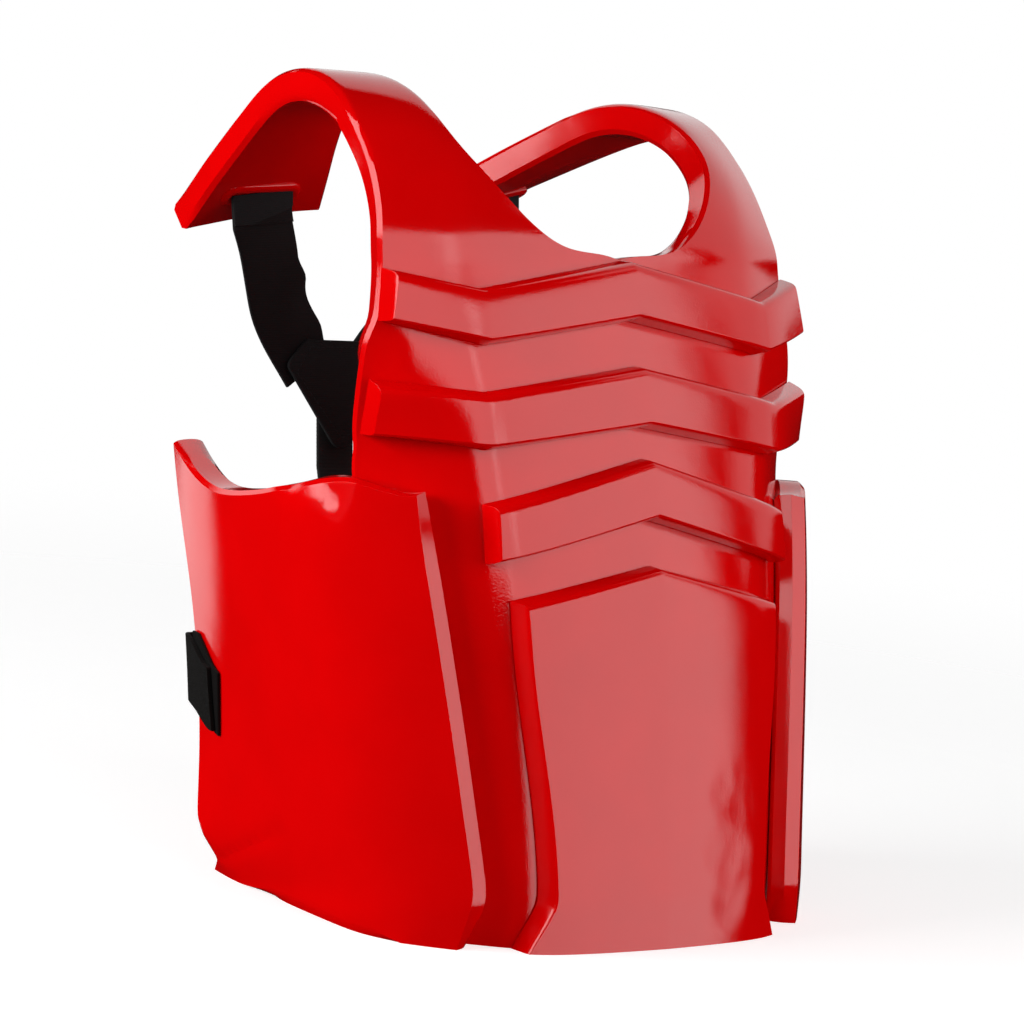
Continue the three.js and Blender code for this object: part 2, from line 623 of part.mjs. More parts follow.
const redVinyl = new THREE.MeshStandardMaterial({ color: 0xd00508, roughness: 0.22, metalness: 0 });
const blackElastic = new THREE.MeshStandardMaterial({ color: 0x141416, roughness: 0.85, metalness: 0 });
const blackWebbing = new THREE.MeshStandardMaterial({ color: 0x101012, roughness: 0.7, metalness: 0 });

const worn = new THREE.Group();

function add(name, geometry, material) {
  const mesh = new THREE.Mesh(geometry, material);
  mesh.name = name;
  worn.add(mesh);
}

add("front_shell", frontShell(), redVinyl);
for (const [name, band] of Object.entries(CHEVRONS)) add(name, chevronBand(band), redVinyl);
add("belly_band", bellyBand(), redVinyl);
add("belly_panel", bellyPanel(), redVinyl);
for (const [hand, side] of [["left", 1], ["right", -1]]) {
  add(`side_panel_${hand}`, sidePanel(side), redVinyl);
  add(`strap_patch_${hand}`, strapPatch(side), blackElastic);
  add(`shoulder_strap_${hand}`, shoulderStrap(side), blackElastic);
}
add("yoke_patch", yokePatch(), blackElastic);
add("back_strap", backStrap(), blackWebbing);
add("waist_strap", waistStrap(), blackElastic);

// Stand the guard on its hem, with the origin under the middle of its box
worn.rotation.x = -REST_LEAN;
const guard = new THREE.Group();
guard.add(worn);
guard.updateMatrixWorld(true);
const box = new THREE.Box3().setFromObject(guard, true);
const middle = box.getCenter(new THREE.Vector3());
worn.position.set(-middle.x, -middle.y, -box.min.z);

export default guard;
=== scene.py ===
import json
import math

import bmesh
import bpy
from bpy.props import FloatProperty, FloatVectorProperty, IntProperty, PointerProperty
from mathutils import Matrix, Vector

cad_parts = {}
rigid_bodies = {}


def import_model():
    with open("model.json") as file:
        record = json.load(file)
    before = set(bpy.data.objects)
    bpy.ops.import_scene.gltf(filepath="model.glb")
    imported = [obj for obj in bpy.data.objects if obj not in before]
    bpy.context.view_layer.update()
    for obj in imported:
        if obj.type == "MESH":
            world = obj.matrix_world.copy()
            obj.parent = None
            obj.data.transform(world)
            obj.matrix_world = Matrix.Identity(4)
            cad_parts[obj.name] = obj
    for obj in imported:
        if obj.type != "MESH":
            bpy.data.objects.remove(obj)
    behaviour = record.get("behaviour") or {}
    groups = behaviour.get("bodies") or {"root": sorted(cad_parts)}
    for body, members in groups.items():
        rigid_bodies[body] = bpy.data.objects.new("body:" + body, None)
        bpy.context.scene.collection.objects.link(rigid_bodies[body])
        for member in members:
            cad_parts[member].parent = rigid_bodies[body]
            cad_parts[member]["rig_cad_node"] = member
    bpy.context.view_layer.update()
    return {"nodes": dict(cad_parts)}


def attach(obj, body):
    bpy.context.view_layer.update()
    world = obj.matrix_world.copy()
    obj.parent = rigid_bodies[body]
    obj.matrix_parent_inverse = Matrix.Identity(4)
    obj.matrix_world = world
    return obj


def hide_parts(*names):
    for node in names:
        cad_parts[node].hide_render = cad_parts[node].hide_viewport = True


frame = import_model()
BODY = "root"

bl_info = {
    "name": "Chest Guard",
    "version": (1, 0, 0),
    "blender": (4, 5, 0),
    "location": "3D View > Sidebar > Chest Guard",
    "description": "Dresses a chest guard's solids with its dipped foam, its harness and a studio",
    "category": "Object",
}

# Copies of the solids: merging distance, and limits that let every pair of triangles become a quad again
MERGE = 0.00002
ANY_ANGLE = math.pi
GRID_FIRST = 2.0
SHARP = math.radians(24)
SMOOTH_LEVELS = 2
FINE_LEVELS = 3

# Turns that stay as edges under the coat: on cut sheets of foam, and on the softer raised pads
SHEET_EDGE = math.radians(40)
PAD_EDGE = math.radians(30)

# Picking: how far from a wanted place or plane a vertex still counts, how near the shell a slit is,
# and how near a row's height a point of the webbing is
NEAR = 0.0004
IN_SLIT = 0.003
IN_ROW = 0.003

# Picking by the normal: faces that look to the wearer's right, from loosely to strictly, and to the front
RIGHT_LOOSE = -0.3
RIGHT = -0.5
RIGHT_STRICT = -0.85
FRONT = -0.8
EDGEWISE = 0.3

# Shares of a reach within which the middle of a wrinkle, a crease or an eased strap edge is picked
WRINKLE_CORE = 0.2
CREASE_CORE = 0.4
SPREAD_CORE = 0.6

# The near arm hole lies beyond this, and a side panel's low rear corner within these
ARM_HOLE_X = -0.13
TAIL_Z = (0.012, 0.06)
TAIL_Y = (0, 0.08)
LEVEL_SLOPE = 0.3

SIDES = ("left", "right")

# Cut edge of the near arm hole, eased out along the sheet: heights, how far, and how far that runs out
EASED_EDGE = (
    {"low": 0.250, "high": 0.312, "out": 0.0039, "reach": 0.02},
    {"low": 0.212, "high": 0.236, "out": 0.0092, "reach": 0.03},
)

# Straps and patches are thinner than this
THIN = 0.004

# Soft wrinkles of the belly panel, low on the wearer's left: ends in x and z
WRINKLES = (
    {"start": (0.066, 0.086), "end": (0.042, 0.081)},
    {"start": (0.062, 0.071), "end": (0.038, 0.048)},
    {"start": (0.056, 0.046), "end": (0.046, 0.022)},
)


class FoamSettings(bpy.types.PropertyGroup):
    """Foam pads under their dipped coat"""
    edge_round: FloatProperty(
        name="Edge rounding", description="Rounding of each corner along a cut edge",
        default=0.0011, unit="LENGTH")
    fold_round: FloatProperty(
        name="Fold rounding", description="Half the width over which a chevron turns at its peak and valleys",
        default=0.0018, unit="LENGTH")
    upper_valley: FloatProperty(
        name="Upper valley", description="Distance of the upper band's valleys from the centre line",
        default=0.101, unit="LENGTH")
    lower_valley: FloatProperty(
        name="Lower valley", description="Distance of the lower band's valleys from the centre line",
        default=0.103, unit="LENGTH")
    sheet_way: FloatVectorProperty(
        name="Sheet way", description="Way that the shell's sheet runs at the near arm hole", subtype="XYZ",
        size=3, default=(-0.55, 0.835, 0.0))
    coat_colour: FloatVectorProperty(
        name="Coat", description="Main red of the coat", subtype="COLOR", size=3,
        default=(0.74, 0.0, 0.0006))
    coat_shade: FloatVectorProperty(
        name="Coat shade", description="Deeper red where the coat lies thick", subtype="COLOR", size=3,
        default=(0.69, 0.0, 0.0004))
    gloss: FloatProperty(
        name="Gloss", description="Mean roughness of the coat", default=0.065, subtype="FACTOR")
    peel_height: FloatProperty(
        name="Orange peel", description="Height of the coat's fine grain", default=0.00005, unit="LENGTH")
    peel_grain: FloatProperty(
        name="Peel grain", description="Grains of the coat to a metre", default=900)
    wave_height: FloatProperty(
        name="Waviness", description="Height of the foam's slow waves", default=0.0001, unit="LENGTH")
    wave_count: FloatProperty(
        name="Waves", description="Slow waves to a metre", default=38)
    lip_round: FloatProperty(
        name="Lip", description="Half the thickness of the lip round a strap's slit", default=0.0034,
        unit="LENGTH")
    lip_reach: FloatProperty(
        name="Lip reach", description="Middle of the lip from the middle of the strap", default=0.0056,
        unit="LENGTH")
    rim_roll: FloatVectorProperty(
        name="Rim roll", description="Where the near panel's rim is rolled in", subtype="XYZ",
        unit="LENGTH", size=3, default=(-0.1793, -0.0500, 0.2318))
    rim_push: FloatVectorProperty(
        name="Rim push", description="How far the rim is rolled in", subtype="XYZ", unit="LENGTH", size=3,
        default=(0.0042, 0.0, -0.0004))
    rim_reach: FloatProperty(
        name="Rim reach", description="How far the roll runs out", default=0.013, unit="LENGTH")
    rim_half: FloatProperty(
        name="Rim half", description="Half the length of rim that is rolled in", default=0.021,
        unit="LENGTH")
    crease_length: FloatProperty(
        name="Crease length", description="Length of the crease below the rolled rim", default=0.11,
        unit="LENGTH")
    crease_depth: FloatProperty(
        name="Crease depth", description="Depth of the panels' soft upright crease", default=0.0003,
        unit="LENGTH")
    crease_reach: FloatProperty(
        name="Crease reach", description="How far a crease runs out sideways", default=0.005, unit="LENGTH")
    wrinkle_depth: FloatProperty(
        name="Wrinkle depth", description="Depth of the belly panel's wrinkles", default=0.0004,
        unit="LENGTH")
    wrinkle_reach: FloatProperty(
        name="Wrinkle reach", description="How far a wrinkle runs out sideways", default=0.017, unit="LENGTH")
    tail_round: FloatProperty(
        name="Tail rounding", description="Rounding of the side panels' low rear corners", default=0.008,
        unit="LENGTH")
    dart_start: FloatVectorProperty(
        name="Dart start", description="Rear end of the dart above the hem", subtype="XYZ", unit="LENGTH",
        size=3, default=(-0.1549, 0.0159, 0.0103))
    dart_end: FloatVectorProperty(
        name="Dart end", description="Front end of the dart above the hem", subtype="XYZ", unit="LENGTH",
        size=3, default=(-0.1613, -0.0406, 0.0380))
    dart_depth: FloatProperty(
        name="Dart depth", description="Depth of the dart", default=0.001, unit="LENGTH")
    dart_reach: FloatProperty(
        name="Dart reach", description="How far the dart's sides run out", default=0.005, unit="LENGTH")


class HarnessSettings(bpy.types.PropertyGroup):
    """Elastic, webbing and fastening patches"""
    lean: FloatProperty(
        name="Lean", description="How far the standing guard leans back from how it is worn",
        default=math.radians(9.85), subtype="ANGLE")
    elastic_colour: FloatVectorProperty(
        name="Elastic", description="Black of the woven elastic", subtype="COLOR", size=3,
        default=(0.0078, 0.0074, 0.0078))
    tab_colour: FloatVectorProperty(
        name="Tab", description="Black of the waist elastic and its fastening", subtype="COLOR", size=3,
        default=(0.0022, 0.0018, 0.0016))
    webbing_colour: FloatVectorProperty(
        name="Webbing", description="Black of the ribbed webbing", subtype="COLOR", size=3,
        default=(0.009, 0.0085, 0.0085))
    edge_round: FloatProperty(
        name="Selvedge rounding", description="Rounding of a strap's edges", default=0.0008, unit="LENGTH")
    corner_round: FloatProperty(
        name="Corner rounding", description="Rounding of a sewn patch's or tab's corners", default=0.004,
        unit="LENGTH")
    hem_length: FloatProperty(
        name="Hem", description="Turned-back end of a shoulder strap below its slit", default=0.017,
        unit="LENGTH")
    hem_thickness: FloatProperty(
        name="Hem layer", description="Thickness of the turned-back layer", default=0.0011, unit="LENGTH")
    spread_place: FloatVectorProperty(
        name="Spread", description="Where the near strap's inner edge is eased out", subtype="XYZ",
        unit="LENGTH", size=3, default=(-0.046, 0.150, 0.311))
    spread_push: FloatVectorProperty(
        name="Spread push", description="How far that edge is eased out", subtype="XYZ", unit="LENGTH",
        size=3, default=(0.0045, -0.0025, 0.0))
    spread_reach: FloatProperty(
        name="Spread reach", description="How far the easing runs out", default=0.022, unit="LENGTH")
    rib_height: FloatProperty(
        name="Rib height", description="Height of the webbing's ribs", default=0.0005, unit="LENGTH")
    rib_cuts: IntProperty(
        name="Rib rows", description="Rows of ribs' edges cut into each length of the webbing's solid",
        default=17)
    seam_inset: FloatProperty(
        name="Seam inset", description="Sewn line from the edge of a patch or tab", default=0.0035,
        unit="LENGTH")
    row_low: FloatProperty(
        name="Low row", description="Lower sewn row from the low end of the back strap", default=0.008,
        unit="LENGTH")
    row_high: FloatProperty(
        name="High row", description="Upper sewn row from the low end of the back strap", default=0.036,
        unit="LENGTH")
    stitch_length: FloatProperty(
        name="Stitch", description="Length of one stitch", default=0.0026, unit="LENGTH")
    stitch_pitch: FloatProperty(
        name="Stitch pitch", description="Distance between stitches", default=0.0036, unit="LENGTH")
    thread: FloatProperty(
        name="Thread", description="Thickness of the thread", default=0.0006, unit="LENGTH")
    thread_colour: FloatVectorProperty(
        name="Thread colour", description="Black of the thread, paler than the elastic", subtype="COLOR",
        size=3, default=(0.012, 0.012, 0.013))


class StageSettings(bpy.types.PropertyGroup):
    """Camera, light and floor"""
    azimuth: FloatProperty(
        name="Azimuth", description="Camera's way round the guard from the front",
        default=math.radians(-41.51), subtype="ANGLE")
    elevation: FloatProperty(
        name="Elevation", description="Camera's height over the horizon", default=math.radians(7.41),
        subtype="ANGLE")
    roll: FloatProperty(
        name="Roll", description="Camera's turn about its own axis", default=math.radians(6.71),
        subtype="ANGLE")
    distance: FloatProperty(
        name="Distance", description="Camera to the middle of the guard", default=2.562, unit="LENGTH")
    aim: FloatVectorProperty(
        name="Aim", description="Point in the middle of the picture", subtype="XYZ", unit="LENGTH", size=3,
        default=(-0.0162, -0.0367, 0.2166))
    lens: FloatProperty(
        name="Lens", description="Focal length in millimetres", default=159.7)
    floor_colour: FloatVectorProperty(
        name="Floor", description="Pale floor", subtype="COLOR", size=3, default=(0.6, 0.6, 0.6))
    floor_glow: FloatProperty(
        name="Floor glow", description="Light that the floor gives off, which keeps it pale", default=0.66)
    backdrop: FloatProperty(
        name="Backdrop", description="Brightness of the backdrop behind the guard", default=1.0)
    fill: FloatProperty(
        name="Fill", description="Soft light from all round", default=0.2)
    mirrored_dark: FloatProperty(
        name="Mirrored dark", description="Brightness of the studio in reflections", default=0.004)
    floor_radius: FloatProperty(
        name="Floor radius", description="Radius of the floor's disc", default=1.7, unit="LENGTH")
    fade_from: FloatProperty(
        name="Fade from", description="Where the floor starts to fade into the backdrop", default=0.3,
        unit="LENGTH")
    fade_to: FloatProperty(
        name="Fade to", description="Where the floor has faded out", default=1.6, unit="LENGTH")


# Picking and copying


def take(piece):
    """Leave this object alone selected and active, in object mode."""
    bpy.ops.object.select_all(action="DESELECT")
    bpy.context.view_layer.objects.active = piece
    piece.select_set(True)


def start_edit(piece):
    take(piece)
    bpy.ops.object.mode_set(mode="EDIT")
    bpy.ops.mesh.select_all(action="SELECT")


def end_edit():
    bpy.ops.object.mode_set(mode="OBJECT")


def copy_of_node(node, name):
    """A solid's own mesh under a new name, with its triangles turned back into quads."""
    take(frame["nodes"][node])
    bpy.ops.object.duplicate()
    piece = bpy.context.active_object
    piece.name = name
    piece.data.name = name
    del piece["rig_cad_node"]
    piece.data.materials.clear()
    start_edit(piece)
    bpy.ops.mesh.remove_doubles(threshold=MERGE)
    bpy.ops.mesh.tris_convert_to_quads(
        face_threshold=ANY_ANGLE, shape_threshold=ANY_ANGLE, topology_influence=GRID_FIRST)
    end_edit()
    bpy.ops.mesh.customdata_custom_splitnormals_clear()
    return piece


def pick(piece, wanted):
    """Enter edit mode with only the vertices selected whose place and normal pass the test."""
    start_edit(piece)
    bpy.ops.mesh.select_mode(type="VERT")
    bpy.ops.mesh.select_all(action="DESELECT")
    mesh = bmesh.from_edit_mesh(piece.data)
    for vertex in mesh.verts:
        vertex.select = wanted(vertex.co, vertex.normal)
    mesh.select_flush(True)
    bmesh.update_edit_mesh(piece.data)


def push(piece, wanted, move, reach):
    """Move the wanted vertices, and ease the skin round them out over the reach."""
    pick(piece, wanted)
    bpy.ops.transform.translate(
        value=move, use_proportional_edit=True, use_proportional_connected=True,
        proportional_edit_falloff="SMOOTH", proportional_size=reach)
    end_edit()


def cut_across(piece, places):
    """Edge loops round the piece at these distances from the centre line."""
    for x in places:
        start_edit(piece)
        bpy.ops.mesh.bisect(plane_co=(x, 0, 0), plane_no=(1, 0, 0))
        end_edit()


def round_edges(piece, width, segments=2, sharpness=SHARP):
    """Bevel every edge that is sharper than the limit."""
    start_edit(piece)
    bpy.ops.mesh.select_mode(type="EDGE")
    bpy.ops.mesh.select_all(action="DESELECT")
    bpy.ops.mesh.edges_select_sharp(sharpness=sharpness)
    bpy.ops.mesh.bevel(offset=width, segments=segments, profile=0.5, clamp_overlap=True)
    bpy.ops.mesh.select_mode(type="VERT")
    end_edit()


def keep_edges(piece, sharpness):
    """Crease every edge that is sharper than the limit, so that smoothing leaves it."""
    start_edit(piece)
    bpy.ops.mesh.select_mode(type="EDGE")
    bpy.ops.mesh.select_all(action="DESELECT")
    bpy.ops.mesh.edges_select_sharp(sharpness=sharpness)
    bpy.ops.transform.edge_crease(value=1.0)
    bpy.ops.mesh.select_mode(type="VERT")
    end_edit()


def soften_edges(piece, width):
    """Round the edges that smoothing has left, with flat faces beside them."""
    take(piece)
    rounding = piece.modifiers.new("Round", "BEVEL")
    rounding.width = width
    rounding.segments = 3
    rounding.limit_method = "ANGLE"
    rounding.angle_limit = SHARP
    rounding.harden_normals = True
    bpy.ops.object.modifier_apply(modifier=rounding.name)


def smooth_out(piece, levels=SMOOTH_LEVELS):
    """Subdivide the piece's cage and shade it smooth."""
    take(piece)
    smoothing = piece.modifiers.new("Smooth", "SUBSURF")
    smoothing.levels = levels
    smoothing.render_levels = levels
    bpy.ops.object.modifier_apply(modifier=smoothing.name)
    bpy.ops.object.shade_smooth()


def settle(piece, material, nodes=()):
    """Give a finished piece its material and body, and hide the solids that it stands for."""
    piece.data.materials.clear()
    piece.data.materials.append(material)
    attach(piece, BODY)
    if nodes:
        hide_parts(*nodes)


# Materials: grains to a metre of the coat's shades, of its duller spots and of the weave's fuzz, how much
# lighter the fuzz is, and threads to a metre with their height
SHADE_GRAIN = 22
DULL_GRAIN = 160
FUZZ_GRAIN = 900
FUZZ_LIGHTER = 2.2
ELASTIC_THREADS = 300
WEBBING_THREADS = 150
WEAVE_HEIGHT = 0.0001


def start_material(name):
    material = bpy.data.materials.new(name)
    material.use_nodes = True
    tree = material.node_tree
    tree.nodes.clear()
    output = tree.nodes.new("ShaderNodeOutputMaterial")
    shader = tree.nodes.new("ShaderNodeBsdfPrincipled")
    tree.links.new(shader.outputs["BSDF"], output.inputs["Surface"])
    return material, tree, shader


def noise(tree, source, scale, detail=2.0):
    node = tree.nodes.new("ShaderNodeTexNoise")
    node.inputs["Scale"].default_value = scale
    node.inputs["Detail"].default_value = detail
    tree.links.new(source, node.inputs["Vector"])
    return node.outputs["Fac"]


def spread(tree, value, low, high):
    """Noise mapped to the range from low to high."""
    node = tree.nodes.new("ShaderNodeMapRange")
    node.inputs["From Min"].default_value = 0.3
    node.inputs["From Max"].default_value = 0.7
    node.inputs["To Min"].default_value = low
    node.inputs["To Max"].default_value = high
    tree.links.new(value, node.inputs["Value"])
    return node.outputs["Result"]


def mixed_colour(tree, factor, first, second):
    node = tree.nodes.new("ShaderNodeMix")
    node.data_type = "RGBA"
    node.inputs["A"].default_value = (*first, 1)
    node.inputs["B"].default_value = (*second, 1)
    tree.links.new(factor, node.inputs["Factor"])
    return node.outputs["Result"]


def bump(tree, height, distance, below=None):
    node = tree.nodes.new("ShaderNodeBump")
    node.inputs["Distance"].default_value = distance
    tree.links.new(height, node.inputs["Height"])
    if below is not None:
        tree.links.new(below, node.inputs["Normal"])
    return node.outputs["Normal"]


def dipped_red(foam):
    """Thick glossy red coat with orange peel over slow waves of the foam."""
    name = "dipped_red"
    if name in bpy.data.materials:
        return bpy.data.materials[name]
    material, tree, shader = start_material(name)
    place = tree.nodes.new("ShaderNodeTexCoord").outputs["Object"]
    depth = spread(tree, noise(tree, place, SHADE_GRAIN), 0, 1)
    tree.links.new(mixed_colour(tree, depth, foam.coat_colour, foam.coat_shade), shader.inputs["Base Color"])
    dull = spread(tree, noise(tree, place, DULL_GRAIN, 3), foam.gloss * 0.8, foam.gloss * 1.25)
    tree.links.new(dull, shader.inputs["Roughness"])
    waves = bump(tree, noise(tree, place, foam.wave_count), foam.wave_height)
    peel = bump(tree, noise(tree, place, foam.peel_grain), foam.peel_height, waves)
    tree.links.new(peel, shader.inputs["Normal"])
    return material


def woven_black(name, colour, threads, height):
    """Matt black weave with fuzz, whose threads run along Z and across it."""
    if name in bpy.data.materials:
        return bpy.data.materials[name]
    material, tree, shader = start_material(name)
    place = tree.nodes.new("ShaderNodeTexCoord").outputs["Object"]
    fuzz = noise(tree, place, FUZZ_GRAIN, 3)
    lighter = tuple(channel * FUZZ_LIGHTER for channel in colour)
    tree.links.new(mixed_colour(tree, fuzz, colour, lighter), shader.inputs["Base Color"])
    tree.links.new(spread(tree, fuzz, 0.7, 0.9), shader.inputs["Roughness"])
    shader.inputs["Sheen Weight"].default_value = 0.02
    shader.inputs["Specular IOR Level"].default_value = 0.12
    rows = tree.nodes.new("ShaderNodeTexWave")
    rows.bands_direction = "Z"
    rows.inputs["Scale"].default_value = threads
    tree.links.new(place, rows.inputs["Vector"])
    weave = bump(tree, rows.outputs["Fac"], height)
    tree.links.new(bump(tree, fuzz, height, weave), shader.inputs["Normal"])
    return material


# Pieces


def foam_pad(foam, node, name, edge, folds=(), corners=None, levels=SMOOTH_LEVELS):
    """One dipped foam pad on its solid, with tight turns at its folds."""
    piece = copy_of_node(node, name)
    cut_across(piece, folds)
    if corners:
        corners(foam, piece)
    keep_edges(piece, edge)
    smooth_out(piece, levels)
    soften_edges(piece, foam.edge_round)
    settle(piece, dipped_red(foam), [node])
    return piece


def chevron_folds(foam, valley):
    """Places of the edge loops on both sides of a chevron's peak and valleys."""
    half = foam.fold_round
    return [fold + side * half for fold in (-valley, 0, valley) for side in (-1, 1)]


def ease_arm_hole(foam, shell):
    """Push the cut edge of the near arm hole out, down to where it meets the side panel."""
    for part in EASED_EDGE:

        def on_edge(place, normal):
            return part["low"] < place.z < part["high"] and place.x < ARM_HOLE_X and normal.x < RIGHT_STRICT

        push(shell, on_edge, Vector(foam.sheet_way) * part["out"], part["reach"])


class GUARD_OT_front_shell(bpy.types.Operator):
    """Make the foam shell of the front with its two shoulder wings"""
    bl_idname = "guard.front_shell"
    bl_label = "Front shell"

    def execute(self, context):
        foam = context.scene.guard_foam
        ease_arm_hole(foam, foam_pad(foam, "front_shell", "dipped_shell", SHEET_EDGE))
        return {"FINISHED"}


def press_wrinkle(foam, piece, first, last):
    """Sink a soft wrinkle into the front of a pad, between two places in x and z."""
    along = last - first

    def on_wrinkle(place, normal):
        spot = Vector((place.x, place.z)) - first
        share = spot.dot(along) / along.length_squared
        off = (spot - along * share).length
        return 0 < share < 1 and off < foam.wrinkle_reach * WRINKLE_CORE and normal.y < FRONT

    push(piece, on_wrinkle, (0, foam.wrinkle_depth, 0), foam.wrinkle_reach)


class GUARD_OT_raised_pads(bpy.types.Operator):
    """Make the chevron bands, the belly band and the belly panel"""
    bl_idname = "guard.raised_pads"
    bl_label = "Raised pads"

    def execute(self, context):
        foam = context.scene.guard_foam
        peak = [-foam.fold_round, foam.fold_round]
        upper = chevron_folds(foam, foam.upper_valley)
        lower = chevron_folds(foam, foam.lower_valley)
        foam_pad(foam, "chest_band_upper", "dipped_band_upper", PAD_EDGE, upper)
        foam_pad(foam, "chest_band_lower", "dipped_band_lower", PAD_EDGE, lower)
        foam_pad(foam, "belly_band", "dipped_band_belly", PAD_EDGE, peak)
        belly = foam_pad(
            foam, "belly_panel", "dipped_belly_panel", PAD_EDGE, peak, levels=FINE_LEVELS)
        for wrinkle in WRINKLES:
            press_wrinkle(foam, belly, Vector(wrinkle["start"]), Vector(wrinkle["end"]))
        return {"FINISHED"}


def round_tail(foam, piece):
    """Round a side panel's low rear corner: bevel the short edges through its thickness there."""
    pick(piece, lambda place, normal: False)
    bpy.ops.mesh.select_mode(type="EDGE")
    mesh = bmesh.from_edit_mesh(piece.data)
    for edge in mesh.edges:
        ends = [end.co for end in edge.verts]
        level = abs(ends[1].z - ends[0].z) < LEVEL_SLOPE * edge.calc_length()
        low_rear = all(
            TAIL_Z[0] < end.z < TAIL_Z[1] and TAIL_Y[0] < end.y < TAIL_Y[1] for end in ends)
        edge.select = level and low_rear and edge.is_manifold and edge.calc_face_angle() > SHARP
    bmesh.update_edit_mesh(piece.data)
    bpy.ops.mesh.bevel(offset=foam.tail_round, segments=3, profile=0.5, clamp_overlap=True)
    bpy.ops.mesh.select_mode(type="VERT")
    end_edit()


def press_dart(foam, piece):
    """Cut an edge along the dart and sink it into the panel's outer face."""
    first = Vector(foam.dart_start)
    last = Vector(foam.dart_end)
    length = (last - first).length
    along = (last - first).normalized()
    across = along.cross((1, 0, 0)).normalized()
    start_edit(piece)
    bpy.ops.mesh.bisect(plane_co=first, plane_no=across)
    end_edit()

    def on_dart(place, normal):
        way = (place - first).dot(along)
        return 0 < way < length and abs((place - first).dot(across)) < NEAR and normal.x < RIGHT

    push(piece, on_dart, (foam.dart_depth, 0, 0), foam.dart_reach)


def press_crease(foam, piece):
    """Sink a soft crease from the rolled rim down to the strap."""
    top = Vector(foam.rim_roll)
    upper = top.z - foam.rim_reach
    lower = upper - foam.crease_length

    def on_crease(place, normal):
        beside = abs(place.y - top.y)
        return lower < place.z < upper and beside < foam.crease_reach * CREASE_CORE and normal.x < RIGHT

    push(piece, on_crease, (foam.crease_depth, 0, 0), foam.crease_reach)


def roll_rim(foam, piece):
    """Push the top of the panel's outer face inwards, as where it was gripped in the mould."""
    top = Vector(foam.rim_roll)

    def on_rim(place, normal):
        return place.z > top.z and abs(place.y - top.y) < foam.rim_half and normal.x < RIGHT_LOOSE

    push(piece, on_rim, foam.rim_push, foam.rim_reach)


class GUARD_OT_side_panels(bpy.types.Operator):
    """Make the two rib panels that wrap round to the back"""
    bl_idname = "guard.side_panels"
    bl_label = "Side panels"

    def execute(self, context):
        foam = context.scene.guard_foam
        for side in SIDES:
            foam_pad(foam, f"side_panel_{side}", f"dipped_side_{side}", SHEET_EDGE, corners=round_tail)
        near = bpy.data.objects["dipped_side_right"]
        roll_rim(foam, near)
        press_crease(foam, near)
        press_dart(foam, near)
        return {"FINISHED"}


def flat_strap(harness, node, name, material):
    """One strap or patch on its solid, with rounded selvedges."""
    piece = copy_of_node(node, name)
    round_edges(piece, harness.edge_round)
    smooth_out(piece)
    settle(piece, material, [node])
    return piece


def elastic_black(harness):
    return woven_black("woven_elastic", harness.elastic_colour, ELASTIC_THREADS, WEAVE_HEIGHT)


def tab_black(harness):
    return woven_black("woven_tab", harness.tab_colour, ELASTIC_THREADS, WEAVE_HEIGHT)


def points_of(piece):
    return [vertex.co.copy() for vertex in piece.data.vertices]


def slit_points(strap):
    """A strap's points that lie in its slit in the wing."""
    shell = bpy.data.objects["dipped_shell"]
    return [place for place in points_of(strap)
            if (shell.closest_point_on_mesh(place)[1] - place).length < IN_SLIT]


def middle_of(points):
    return sum(points, Vector()) / len(points)


def add_hem(harness, strap):
    """Join on the layer of the strap that is turned back below the slit and sewn down."""
    ends = slit_points(strap)
    slit = middle_of(ends)
    low = middle_of([place for place in points_of(strap) if (place - slit).length < 2 * harness.hem_length])
    along = (max(ends, key=lambda place: place.x) - min(ends, key=lambda place: place.x)).normalized()
    down = low - slit
    down = (down - along * down.dot(along)).normalized()
    take(strap)
    bpy.ops.object.duplicate()
    hem = bpy.context.active_object
    start_edit(hem)
    bpy.ops.mesh.bisect(
        plane_co=slit + down * harness.hem_length, plane_no=down, use_fill=True, clear_outer=True)
    bpy.ops.mesh.select_all(action="SELECT")
    bpy.ops.transform.translate(value=(0, -harness.hem_thickness, 0))
    end_edit()
    bpy.ops.object.select_all(action="DESELECT")
    hem.select_set(True)
    strap.select_set(True)
    bpy.context.view_layer.objects.active = strap
    bpy.ops.object.join()


def spread_strap(harness, strap):
    """Ease the inner edge of the near strap out, where its solid turns too far edge on."""
    spot = Vector(harness.spread_place)

    def on_edge(place, normal):
        return place.x > spot.x - NEAR and abs(place.z - spot.z) < harness.spread_reach * SPREAD_CORE

    push(strap, on_edge, harness.spread_push, harness.spread_reach)


class GUARD_OT_shoulder_straps(bpy.types.Operator):
    """Make the two elastic straps that hang from the wings, with their turned-back ends"""
    bl_idname = "guard.shoulder_straps"
    bl_label = "Shoulder straps"

    def execute(self, context):
        harness = context.scene.guard_harness
        for side in SIDES:
            strap = flat_strap(
                harness, f"shoulder_strap_{side}", f"elastic_shoulder_{side}", elastic_black(harness))
            add_hem(harness, strap)
            if side == "right":
                spread_strap(harness, strap)
        return {"FINISHED"}


